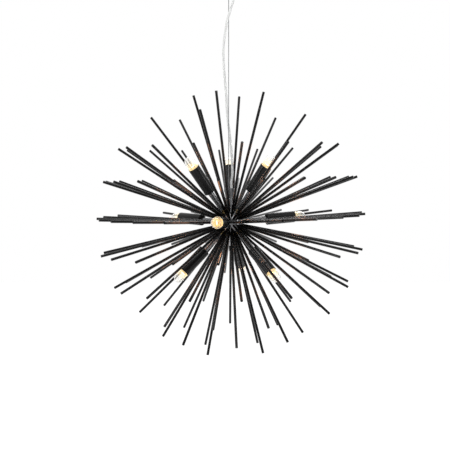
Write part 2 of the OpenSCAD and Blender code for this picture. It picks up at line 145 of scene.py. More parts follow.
def surface(points, ends):
    """Vertices and faces of a grid of rows by sides, every row a ring. ends is wrap where the
    last row meets the first, flat where a face closes each end, and poles where the first and
    last rows have shrunk to one point."""
    rows, sides = points.shape[:2]
    if ends != "poles":
        faces = ring_faces(rows, sides, ends == "wrap").tolist()
        if ends == "flat":
            last = (rows - 1) * sides
            faces += [list(range(sides))[::-1], list(range(last, last + sides))]
        return points.reshape(-1, 3), faces
    body = points[1:-1].reshape(-1, 3)
    verts = np.vstack([body, points[0, :1], points[-1, :1]])
    faces = ring_faces(rows - 2, sides, False).tolist()
    j = np.arange(sides)
    after = (j + 1) % sides
    last = (rows - 3) * sides
    low = np.stack([after, j, np.full(sides, len(body))], axis=-1)
    high = np.stack([last + j, last + after, np.full(sides, len(body) + 1)], axis=-1)
    return verts, faces + low.tolist() + high.tolist()


def joined(parts):
    """One list of vertices and one of faces from several."""
    verts, faces, start = [], [], 0
    for v, f in parts:
        verts.append(v)
        faces += [[i + start for i in face] for face in f]
        start += len(v)
    return np.vstack(verts), faces


def outward(verts, faces):
    """Turns every face over where the closed surface's signed volume is negative: the sum of
    a . (b x c) / 6 over its triangles."""
    tri = np.array([[f[0], f[k], f[k + 1]] for f in faces for k in range(1, len(f) - 1)])
    a, b, c = verts[tri[:, 0]], verts[tri[:, 1]], verts[tri[:, 2]]
    volume = np.einsum("ij,ij->i", a - verts[0], np.cross(b - verts[0], c - verts[0])).sum()
    return faces if volume > 0 else [f[::-1] for f in faces]


def turned(profile, line, sides, ends="wrap", wave=None):
    """A profile of (radius, height) turned about a line: height along the axis, and
    radius times cos and sin of the turn along the two sides. wave adds to the radius
    as a function of the turn and the height."""
    profile = np.array(profile, float)
    turn = np.linspace(0, 2 * np.pi, sides, endpoint=False)
    radius = np.repeat(profile[:, :1], sides, axis=1)
    height = np.repeat(profile[:, 1:], sides, axis=1)
    if wave is not None:
        radius = radius + wave(turn[None, :], height)
    out = radius[..., None] * (
        np.cos(turn)[None, :, None] * line.x + np.sin(turn)[None, :, None] * line.y
    )
    points = line.origin + height[..., None] * line.axis + out
    verts, faces = surface(points, ends)
    return verts, outward(verts, faces)


def run_along(path):
    """How far along the path each of its points lies."""
    return np.concatenate([[0], np.cumsum(np.linalg.norm(np.diff(path, axis=0), axis=1))])


def swept(path, radius, sides, twist=0.0, shape=None):
    """A tube along a path. Each ring stands square to the path on sides carried along it
    without turning, and shape gives the radius as a share by the turn, advanced by twist
    radians a metre."""
    path = np.array(path, float)
    along = unit(np.gradient(path, axis=0))
    sides_x = [unit(np.cross(along[0], ASKEW))]
    for t in along[1:]:
        sides_x.append(unit(sides_x[-1] - np.dot(sides_x[-1], t) * t))
    x = np.array(sides_x)
    y = np.cross(along, x)
    turn = np.linspace(0, 2 * np.pi, sides, endpoint=False)[None, :]
    turned_back = turn - twist * run_along(path)[:, None]
    share = np.ones((len(path), sides)) if shape is None else shape(turned_back)
    ring = np.cos(turn)[..., None] * x[:, None] + np.sin(turn)[..., None] * y[:, None]
    points = path[:, None] + radius * share[..., None] * ring
    verts, faces = surface(points, "flat")
    return verts, outward(verts, faces)


def smooth_path(points, steps):
    """A curve through every point: between b and c, with a before and e after,
    (2b + (c - a)t + (2a - 5b + 4c - e)t^2 + (3b - a - 3c + e)t^3) / 2."""
    p = np.array(points, float)
    n = len(p)
    a = p[np.maximum(np.arange(n - 1) - 1, 0)][:, None]
    b = p[:-1][:, None]
    c = p[1:][:, None]
    e = p[np.minimum(np.arange(n - 1) + 2, n - 1)][:, None]
    t = (np.arange(steps) / steps)[None, :, None]
    curve = 2 * b + (c - a) * t + (2 * a - 5 * b + 4 * c - e) * t**2
    curve = (curve + (3 * b - a - 3 * c + e) * t**3) / 2
    return np.vstack([curve.reshape(-1, 3), p[-1:]])


def rounded(corners, radii):
    """An outline whose corners are arcs: each corner b between a and c starts r along
    b to a and ends r along b to c, and runs (1 - t)^2 start + 2t(1 - t) b + t^2 end."""
    p = np.array(corners, float)
    reach = np.array(radii, float)[:, None]
    start = p + unit(np.roll(p, 1, axis=0) - p) * reach
    end = p + unit(np.roll(p, -1, axis=0) - p) * reach
    t = np.linspace(0, 1, ARC_STEPS)[None, :, None]
    arc = (1 - t) ** 2 * start[:, None] + 2 * t * (1 - t) * p[:, None] + t**2 * end[:, None]
    return arc.reshape(-1, 2)


def ease(t):
    """0 to 1 with a level start and end: 3t^2 - 2t^3."""
    t = np.clip(t, 0, 1)
    return t * t * (3 - 2 * t)


def new_object(name, data):
    """An object of this data, put into the scene."""
    obj = bpy.data.objects.new(name, data)
    bpy.context.scene.collection.objects.link(obj)
    return obj


def point_at(obj, place, aim):
    """Puts a camera or a light at a place, looking at the aim."""
    obj.location = place
    obj.rotation_mode = "QUATERNION"
    obj.rotation_quaternion = (Vector(aim) - obj.location).to_track_quat("-Z", "Y")


def make_piece(name, parts, body, materials, nodes=(), second=None, share=None):
    """Puts the parts into one object that rides on a body, stands for CAD nodes and takes
    its finish from a slot. second picks the faces of the second material from the faces'
    middles, and share gives a named attribute's value at each vertex."""
    verts, faces = joined(parts)
    mesh = bpy.data.meshes.new(name)
    mesh.from_pydata(verts.tolist(), [], faces)
    for material in materials:
        mesh.materials.append(material)
    mesh.polygons.foreach_set("use_smooth", np.full(len(mesh.polygons), True))
    if second is not None:
        centre = np.zeros(len(mesh.polygons) * 3)
        mesh.polygons.foreach_get("center", centre)
        mesh.polygons.foreach_set("material_index", second(centre.reshape(-1, 3)).astype(np.int32))
    if share is not None:
        label, value = share
        layer = mesh.attributes.new(label, "FLOAT", "POINT")
        layer.data.foreach_set("value", value(verts).astype(np.float32))
    mesh.update()
    obj = new_object(name, mesh)
    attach(obj, body)
    if nodes:
        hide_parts(*nodes)
    return obj


# ---- Finishes ----


GRAIN = 2500.0  # how often a skin's mottle and its drift repeat in a metre, unless given
DRIFT = 40.0
SKIN_DEPTH = 0.2 * MM


def new_group(name, inputs, outputs):
    """A node group of plain values: inputs maps each label to its default."""
    group = bpy.data.node_groups.new(name, "ShaderNodeTree")
    for label, value in inputs.items():
        socket = group.interface.new_socket(label, in_out="INPUT", socket_type="NodeSocketFloat")
        socket.default_value = value
    for label in outputs:
        group.interface.new_socket(label, in_out="OUTPUT", socket_type="NodeSocketFloat")
    return group, group.nodes.new("NodeGroupInput"), group.nodes.new("NodeGroupOutput")


def noise(tree, place, scale, detail, rough):
    """A soft noise, read at a place and repeating scale times in a metre."""
    node = tree.nodes.new("ShaderNodeTexNoise")
    node.inputs["Detail"].default_value = detail
    node.inputs["Roughness"].default_value = rough
    tree.links.new(place, node.inputs["Vector"])
    tree.links.new(scale, node.inputs["Scale"])
    return node.outputs["Fac"]


def math_node(tree, operation, *values):
    """One sum of the shader: each value is a number or comes from another node."""
    node = tree.nodes.new("ShaderNodeMath")
    node.operation = operation
    for k, value in enumerate(values):
        if isinstance(value, (int, float)):
            node.inputs[k].default_value = value
        else:
            tree.links.new(value, node.inputs[k])
    return node.outputs[0]


def skin_group():
    """Fine unevenness of a coat or casting: a mottled value, a drifting one and a height."""
    name = "Skin"
    if name in bpy.data.node_groups:
        return bpy.data.node_groups[name]
    group, given, out = new_group(
        name, {"Grain": GRAIN, "Drift": DRIFT}, ("Mottle", "Cloud", "Height")
    )
    place = group.nodes.new("ShaderNodeTexCoord").outputs["Object"]
    mottle = noise(group, place, given.outputs["Grain"], detail=3.0, rough=0.5)
    cloud = noise(group, place, given.outputs["Drift"], detail=5.0, rough=0.6)
    group.links.new(mottle, out.inputs["Mottle"])
    group.links.new(cloud, out.inputs["Cloud"])
    group.links.new(math_node(group, "ADD", mottle, cloud), out.inputs["Height"])
    return group


def skin(tree, grain, drift):
    """The skin group with its own grain and drift."""
    node = tree.nodes.new("ShaderNodeGroup")
    node.node_tree = skin_group()
    node.inputs["Grain"].default_value = grain
    node.inputs["Drift"].default_value = drift
    return node


def new_material(name, base, rough, metallic=0.0):
    """A material of one colour, with its node tree and its shader."""
    material = bpy.data.materials.new(name)
    material.use_nodes = True
    shader = material.node_tree.nodes["Principled BSDF"]
    shader.inputs["Base Color"].default_value = (*base, 1)
    shader.inputs["Roughness"].default_value = rough
    shader.inputs["Metallic"].default_value = metallic
    return material, material.node_tree, shader


def spread(tree, value, ends, to=(0.0, 1.0), kind="LINEAR"):
    """A value between two ends, spread over two others and held at them beyond."""
    node = tree.nodes.new("ShaderNodeMapRange")
    node.interpolation_type = kind
    for label, end in zip(("From Min", "From Max", "To Min", "To Max"), (*ends, *to)):
        node.inputs[label].default_value = end
    tree.links.new(value, node.inputs["Value"])
    return node.outputs["Result"]


def varied(tree, value, low, high):
    """The middle part of a noise, from 0.3 to 0.7, spread between two ends."""
    return spread(tree, value, (0.3, 0.7), (low, high))


def tinted(tree, value, low, high):
    """A colour between two, by a value. Either colour may come from another node."""
    node = tree.nodes.new("ShaderNodeMix")
    node.data_type = "RGBA"
    for label, colour in (("A", low), ("B", high)):
        if isinstance(colour, tuple):
            node.inputs[label].default_value = (*colour, 1)
        else:
            tree.links.new(colour, node.inputs[label])
    tree.links.new(value, node.inputs["Factor"])
    return node.outputs["Result"]


def skinned(name, low, high, rough, metallic=0.0, grain=GRAIN, drift=DRIFT, bump=0.15):
    """A finish with skin: colour between low and high, roughness between two values."""
    material, tree, shader = new_material(name, low, rough[0], metallic)
    coat = skin(tree, grain, drift)
    colour = tinted(tree, varied(tree, coat.outputs["Cloud"], 0.0, 1.0), low, high)
    tree.links.new(colour, shader.inputs["Base Color"])
    tree.links.new(varied(tree, coat.outputs["Mottle"], *rough), shader.inputs["Roughness"])
    relief = tree.nodes.new("ShaderNodeBump")
    relief.inputs["Strength"].default_value = bump
    relief.inputs["Distance"].default_value = SKIN_DEPTH
    tree.links.new(coat.outputs["Height"], relief.inputs["Height"])
    tree.links.new(relief.outputs["Normal"], shader.inputs["Normal"])
    return material, tree, shader


def shade(colour, factor):
    """A colour times a factor, at most 1 in each part."""
    return tuple(min(1.0, c * factor) for c in colour)


class Finishes:
    """Every material of the pendant, made once from the chosen colours."""

    def __init__(self, finish):
        coat, ball = tuple(finish.coat_colour), tuple(finish.ball_colour)
        steel, brass = tuple(finish.steel_colour), tuple(finish.brass_colour)
        glow = tuple(finish.glow_colour)
        self.rod = self.black_coat("rod coat", coat, (0.11, 0.14), 0.22)
        self.black = self.black_coat("sleeve coat", coat, (0.22, 0.25), 0.26)
        self.lining = self.moulded("sleeve lining", (0.80, 0.72, 0.56), (0.88, 0.82, 0.68))
        self.ball = self.black_nickel(ball)
        self.steel = self.plated_steel("plated steel", steel)
        self.rope = self.plated_steel("rope steel", shade(steel, 0.5), (0.3, 0.42), 9000.0)
        self.nickel = self.plated_steel("bright nickel", shade(steel, 1.25), (0.12, 0.2))
        self.fitting = self.plated_steel("fitting plate", shade(steel, 0.65))
        self.gunmetal = self.plated_steel("stem plate", shade(steel, 0.28), (0.12, 0.16))
        self.brass = self.bare_brass("bare brass", brass)
        self.cap = self.bare_brass("cap brass", shade(brass, 1.1))
        self.solder = self.plated_steel("solder", (0.62, 0.61, 0.60), (0.35, 0.5))
        self.black_plastic = self.moulded("black plastic", (0.016, 0.016, 0.017), (0.03, 0.03, 0.03))
        self.insulator = self.moulded(
            "insulator glass", (0.01, 0.01, 0.012), (0.02, 0.02, 0.022), rough=0.15
        )
        self.white_plastic = self.moulded("white plastic", (0.80, 0.79, 0.75), (0.86, 0.85, 0.82))
        self.cream_plastic = self.moulded("cream plastic", (0.80, 0.72, 0.56), (0.86, 0.79, 0.64))
        self.leads = self.lead_insulation()
        self.sheath = self.clear_sheath(tuple(finish.cable_tint))
        self.core = self.moulded("core insulation", (0.84, 0.845, 0.84), (0.88, 0.885, 0.88))
        self.glass = self.lit_glass(tuple(finish.glass_tint), glow)
        self.glow = self.glowing(glow, finish.glow_strength)

    def black_coat(self, name, colour, rough, gloss):
        """A smooth near black coat, with its gloss set apart from its roughness."""
        low, high = shade(colour, 0.8), shade(colour, 1.3)
        material, _, shader = skinned(name, low, high, rough, bump=0.006)
        shader.inputs["Specular IOR Level"].default_value = gloss
        return material

    def black_nickel(self, colour):
        """Dark plating with a slow drift of tone."""
        low, high = shade(colour, 0.85), shade(colour, 1.25)
        return skinned(
            "black nickel", low, high, (0.10, 0.2), metallic=1.0, grain=1200.0, drift=60.0, bump=0.04
        )[0]

    def plated_steel(self, name, colour, rough=(0.2, 0.34), grain=3500.0):
        """Bright plating, nearly even."""
        low, high = shade(colour, 0.9), shade(colour, 1.08)
        return skinned(name, low, high, rough, metallic=1.0, grain=grain, drift=90.0, bump=0.01)[0]

    def bare_brass(self, name, colour):
        """Brass with clouds of tarnish, which takes most from its blue and least from its red."""
        tarnish = (colour[0] * 0.72, colour[1] * 0.62, colour[2] * 0.5)
        return skinned(
            name, tarnish, colour, (0.18, 0.36), metallic=1.0, grain=3000.0, drift=160.0, bump=0.05
        )[0]

    def moulded(self, name, low, high, rough=0.5):
        """Plastic, glass or enamel of one colour, a little uneven about its roughness."""
        return skinned(name, low, high, (rough - 0.05, rough + 0.08), grain=4000.0, drift=30.0)[0]

    def lead_insulation(self):
        """One lead brown and one blue, split where the piece crosses y = 0."""
        brown, blue = (0.20, 0.09, 0.045), (0.03, 0.10, 0.36)
        material, tree, shader = skinned("lead insulation", brown, brown, (0.38, 0.5))
        place = tree.nodes.new("ShaderNodeTexCoord")
        parts = tree.nodes.new("ShaderNodeSeparateXYZ")
        tree.links.new(place.outputs["Object"], parts.inputs[0])
        behind = math_node(tree, "GREATER_THAN", parts.outputs["Y"], 0.0)
        tree.links.new(tinted(tree, behind, brown, blue), shader.inputs["Base Color"])
        return material

    def clear_sheath(self, tint):
        """A milky clear skin, its tint and its roughness clouded along its length."""
        material, tree, shader = self.clear("clear sheath", tint, rough=0.35, ior=1.25, clearness=0.3)
        coat = skin(tree, 1500.0, 70.0)
        cloud = varied(tree, coat.outputs["Cloud"], 0.0, 1.0)
        rough = varied(tree, coat.outputs["Mottle"], 0.2, 0.32)
        tree.links.new(tinted(tree, cloud, shade(tint, 0.94), tint), shader.inputs["Base Color"])
        tree.links.new(rough, shader.inputs["Roughness"])
        return material

    def lit_glass(self, tint, glow):
        """Bulb glass with a painted glow: an amber tint and an emission, full well inside the sleeve
        and paling to nothing a little beyond the mouth, stand in for the light of the lit coil."""
        material, tree, shader = self.clear("bulb glass", tint, rough=0.05, ior=1.2, clearness=0.9)
        # painted glow: by the attribute's share the glass is tinted amber and shines, in place of the
        # lit coil's light
        painted_glow = tree.nodes.new("ShaderNodeAttribute")
        painted_glow.attribute_name = "painted_glow"
        warm = painted_glow.outputs["Fac"]
        painted_glow_tint, pale, dark = (0.95, 0.78, 0.38), (1.0, 0.92, 0.66), (0.0, 0.0, 0.0)
        glowing = tinted(tree, warm, dark, tinted(tree, warm, pale, glow))
        tree.links.new(tinted(tree, warm, tint, painted_glow_tint), shader.inputs["Base Color"])
        tree.links.new(glowing, shader.inputs["Emission Color"])
        shader.inputs["Emission Strength"].default_value = 0.4
        return material

    def clear(self, name, tint, rough, ior, clearness):
        """Clear stuff that lets lamplight and shadows through straight."""
        material, tree, shader = new_material(name, tint, rough)
        shader.inputs["Transmission Weight"].default_value = clearness
        shader.inputs["IOR"].default_value = ior
        ways = tree.nodes.new("ShaderNodeLightPath")
        through = tree.nodes.new("ShaderNodeBsdfTransparent")
        through.inputs["Color"].default_value = (*tint, 1)
        mix = tree.nodes.new("ShaderNodeMixShader")
        out = tree.nodes["Material Output"]
        tree.links.new(ways.outputs["Is Shadow Ray"], mix.inputs["Fac"])
        tree.links.new(shader.outputs[0], mix.inputs[1])
        tree.links.new(through.outputs[0], mix.inputs[2])
        tree.links.new(mix.outputs[0], out.inputs["Surface"])
        return material, tree, shader

    def glowing(self, colour, strength):
        """The hot coil, which shines by itself."""
        material, _, shader = new_material("glowing coil", (0.9, 0.8, 0.6), 0.4)
        shader.inputs["Emission Color"].default_value = (*colour, 1)
        shader.inputs["Emission Strength"].default_value = strength
        return material


# Which CAD nodes take each finish, by how their names start
NODE_FINISH = {
    "rod": ("rods_",),
    "black": ("canopy_cup", "tube_cap"),
    "ball": ("hub_upper", "hub_lower"),
    "steel": (
        "ceiling_bracket", "bracket_nut", "gripper_body", "gripper_balls", "gripper_spring",
        "wire_stop", "stem_nuts",
    ),
    "fitting": ("top_fitting", "fitting_lid"),
    "nickel": ("centre_tube",),
    "gunmetal": ("lamp_stems",),
    "brass": ("lamp_nipples", "holder_shells", "holder_contacts", "terminal_screws"),
    "white_plastic": ("terminal_block", "hub_connector"),
    "black_plastic": ("gland_locknut",),
    "cream_plastic": ("lamp_holders",),
    "leads": ("supply_leads", "hub_leads", "lamp_leads"),
}


# ---- Settings ----


def colour_property(name, text, value):
    """A colour that a user may change."""
    return FloatVectorProperty(
        name=name, description=text, subtype="COLOR", size=3, min=0.0, max=1.0, default=value
    )


def length_property(name, text, value):
    """A length that a user may change, in metres."""
    return FloatProperty(
        name=name, description=text, default=value, min=0.0, unit="LENGTH", subtype="DISTANCE"
    )


def power_property(name, text, value):
    """A light's power that a user may change, in watts."""
    return FloatProperty(name=name, description=text, default=value, min=0.0, unit="POWER")


class StarburstFinish(bpy.types.PropertyGroup):
    """Colours of the pendant"""

    coat_colour: colour_property("Coat", "Satin coat on rods and lamps", (0.004, 0.004, 0.0042))
    ball_colour: colour_property("Ball", "Colour of the plated ball", (0.13, 0.13, 0.135))
    steel_colour: colour_property("Steel", "Colour of plated steel parts", (0.66, 0.67, 0.69))
    brass_colour: colour_property("Brass", "Colour of bare brass", (0.78, 0.60, 0.30))
    cable_tint: colour_property("Cable", "Tint of the cable's clear sheath", (0.90, 0.905, 0.90))
    glass_tint: colour_property("Glass", "Tint of the bulbs' glass", (0.98, 0.975, 0.96))
    glow_colour: colour_property("Glow", "Colour of the lit coil", (1.0, 0.66, 0.24))
    glow_strength: FloatProperty(
        name="Glow strength", description="How brightly the coils burn", default=20.0, min=0.0
    )


class StarburstSizes(bpy.types.PropertyGroup):
    """Sizes of the detail on the pieces"""

    rim_round: length_property("Rim", "Rounding of the shades' rims", 0.0004)
    shade_wall: length_property("Shade wall", "Wall of a shade", 0.0012)
    glass_wall: length_property("Glass wall", "Wall of a bulb's glass", 0.0008)
    thread_pitch: length_property("Thread", "Pitch of the bulbs' screw caps", 0.0028)
    thread_depth: length_property("Thread depth", "Depth of the caps' round thread", 0.0004)
    rope_lay: length_property("Rope lay", "Length in which a strand goes once round", 0.012)
    core_lay: length_property("Core lay", "Length in which the cable's cores go once round", 0.030)
    rope_strands: IntProperty(
        name="Strands", description="Outer strands of the wire", default=6, min=3
    )
    coil_turns: IntProperty(
        name="Coil turns", description="Turns of a bulb's coil", default=16, min=4
    )


class StarburstStage(bpy.types.PropertyGroup):
    """Room, camera and lights"""

    floor_depth: length_property("Floor", "Distance from the ceiling plane to the floor", 2.2)
    camera_distance: length_property("Camera", "Distance from the camera to the ball", 2.04)
    sky_strength: FloatProperty(
        name="Room light", description="Strength of the even light of the room", default=0.5, min=0.0
    )
    front_gloss: FloatProperty(
        name="Front", description="How bright gloss finds the side that the viewer stands on",
        default=0.2, min=0.0, max=1.0,
    )
    key_power: power_property("Key light", "Power of the large soft light above", 14.0)
    lamp_power: power_property("Lamp light", "Power that a lit bulb throws around it", 0.15)
    lamp_colour: colour_property("Lamp colour", "Colour of what a lit bulb throws", (1.0, 0.42, 0.2))


# ---- Operators ----


class StarburstStep:
    """What every step shares: its settings and the finishes."""

    bl_options = {"REGISTER", "UNDO"}
    finishes = None

    @classmethod
    def finish(cls):
        """The finishes, made at the first call."""
        if StarburstStep.finishes is None:
            StarburstStep.finishes = Finishes(bpy.context.scene.starburst_finish)
        return StarburstStep.finishes

    @property
    def sizes(self):
        """The sizes in use."""
        return bpy.context.scene.starburst_sizes


class STARBURST_OT_camera(StarburstStep, bpy.types.Operator):
    """Puts the camera in front of the ball and a little above it"""

    bl_idname = "starburst.camera"
    bl_label = "Camera"

    def execute(self, context):
        lift = math.radians(2.96)
        aim_left, aim_down = 13.5 * MM, 5.8 * MM
        back = Vector((0, -math.cos(lift), math.sin(lift)))
        data = bpy.data.cameras.new("camera")
        data.sensor_width = 36.0
        data.lens = 70.1
        data.clip_start, data.clip_end = 0.05, 60.0
        camera = new_object("camera", data)
        place = Vector(HUB) + back * context.scene.starburst_stage.camera_distance
        point_at(camera, place, Vector(HUB) - Vector((aim_left, 0, aim_down)))
        context.scene.camera = camera
        return {"FINISHED"}


# The cable's route in millimetres, from its gland to below the last loop, then into the lid
CABLE_ROUTE = [
    (22, 0, -22), (22, 0, -37), (22, 0, -47), (18, -3, -66), (11, -6, -90), (3, -7, -115),
    (-4, -6, -140), (-9, -3, -170), (-12, 1, -200), (-11.5, 4, -230), (-9, 6, -265),
    (-6, 7, -300), (-4, 6.5, -335), (-1, 6, -370), (3, 5, -400), (6, 3, -430), (8, 1, -460),
    (8.5, 0, -490),
]
CABLE_RADIUS = 2.8 * MM
CABLE_STEPS = 6  # points from one place on the route to the next
CABLE_OFF = 3.0 * MM  # from the lid's middle to its cable hole
LID_STEPS = (14 * MM, 5 * MM, -7.8 * MM)  # heights above the lid's top
CORE_RADIUS = 1.0 * MM
CORE_OFF = 1.15 * MM  # from the cable's middle to a core's


class STARBURST_OT_cable(StarburstStep, bpy.types.Operator):
    """Makes the clear cable and the two twisted cores inside it"""

    bl_idname = "starburst.cable"
    bl_label = "Cable"

    def execute(self, context):
        lid_top = Line(HUB, UP, SIDE).span("fitting_lid", cone=1.0)[1]
        ends = [HUB + (lid_top + h) * UP + CABLE_OFF * SIDE for h in LID_STEPS]
        route = [np.array(p) * MM for p in CABLE_ROUTE] + ends
        path = smooth_path(route, CABLE_STEPS)
        sheath = make_piece(
            "cable_sheath",
            [swept(path, CABLE_RADIUS, sides=20)],
            "wire",
            [self.finish().sheath],
            ["power_cable"],
        )
        cores = make_piece(
            "cable_cores",
            [self.core(path, start) for start in (0.0, math.pi)],
            "wire",
            [self.finish().core],
        )
        return {"FINISHED"}

    def core(self, path, start):
        """A helix about the path: its offset turns once in each lay length."""
        dense = smooth_path(path[1:-1], steps=3)
        along = unit(np.gradient(dense, axis=0))
        x = unit(np.cross(along, (0.0, 1.0, 0.0)))
        y = np.cross(along, x)
        turn = (start + 2 * np.pi * run_along(dense) / self.sizes.core_lay)[:, None]
        helix = dense + CORE_OFF * (np.cos(turn) * x + np.sin(turn) * y)
        return swept(helix, CORE_RADIUS, sides=8)


class STARBURST_OT_wire(StarburstStep, bpy.types.Operator):
    """Makes the stranded steel wire"""

    bl_idname = "starburst.wire"
    bl_label = "Wire"

    def execute(self, context):
        low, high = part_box("suspension_wire")
        radius, row_gap, strand_sides = (high.x - low.x) / 2, 0.9 * MM, 6
        rows = int((high.z - low.z) / row_gap)
        heights = np.linspace(low.z, high.z, rows)
        path = np.stack([np.zeros(rows), np.zeros(rows), heights], axis=-1)
        sides = strand_sides * self.sizes.rope_strands
        twist = 2 * np.pi / self.sizes.rope_lay
        make_piece(
            "stranded_wire",
            [swept(path, radius, sides, twist, self.lobes)],
            "wire",
            [self.finish().rope],
            ["suspension_wire"],
        )
        return {"FINISHED"}

    def lobes(self, turn):
        """The outline of n strands about a core: with s = sin(pi / n), each strand's middle is
        c = 1 / (1 + s) out and its radius c s, so the outline is
        c cos p + sqrt((c s)^2 - (c sin p)^2), where p is the turn from the nearest strand's
        middle."""
        n = self.sizes.rope_strands
        s = math.sin(math.pi / n)
        c = 1 / (1 + s)
        p = (turn + np.pi / n) % (2 * np.pi / n) - np.pi / n
        return c * np.cos(p) + np.sqrt(np.maximum((c * s) ** 2 - (c * np.sin(p)) ** 2, 0))


class STARBURST_OT_shades(StarburstStep, bpy.types.Operator):
    """Makes the nine sleeve shades with rounded rims"""

    bl_idname = "starburst.shades"
    bl_label = "Shades"

    def execute(self, context):
        parts = []
        wall, soft, floor_up = self.sizes.shade_wall, self.sizes.rim_round, 2 * MM
        rim_depth, outer_third = 0.6 * MM, 0.35 * wall
        for line in LAMPS.values():
            low, high, radius = line.span("lamp_shades")
            neck, inner, floor = line.near("lamp_shades")[1].min(), radius - wall, low + floor_up
            outside = [(neck, low), (radius, low), (radius, high)]
            inside = [(inner, high), (inner, floor), (neck, floor)]
            outline = rounded(outside + inside, [soft / 2, 2 * soft, soft, soft, soft, soft / 2])
            parts.append(turned(outline, line, sides=64))

        def bare_rim(centres):
            """What lies at the mouth's end and nearer to the lamp's axis than the outer third
            of the wall."""
            bare = np.zeros(len(centres), bool)
            for line in LAMPS.values():
                _, high, radius = line.span("lamp_shades")
                along, off = line.measure(centres)
                own = (off < LAMP_CONE * along) & (along > high - rim_depth) & (along < high + MM)
                bare |= own & (off < radius - outer_third)
            return bare

        make_piece(
            "sleeve_shades", parts, "pendant",
            [self.finish().black, self.finish().lining], ["lamp_shades"], second=bare_rim,
        )
        return {"FINISHED"}


# A bulb's screw cap, in heights above its tip: the shell's lower edge, where its thread starts
# and the insulator ends, and the shell's rim. The lower edge turns in by CAP_IN.
CAP_EDGE, CAP_THREAD, CAP_RIM = 4.4 * MM, 5.2 * MM, 21 * MM
CAP_IN = 1.6 * MM


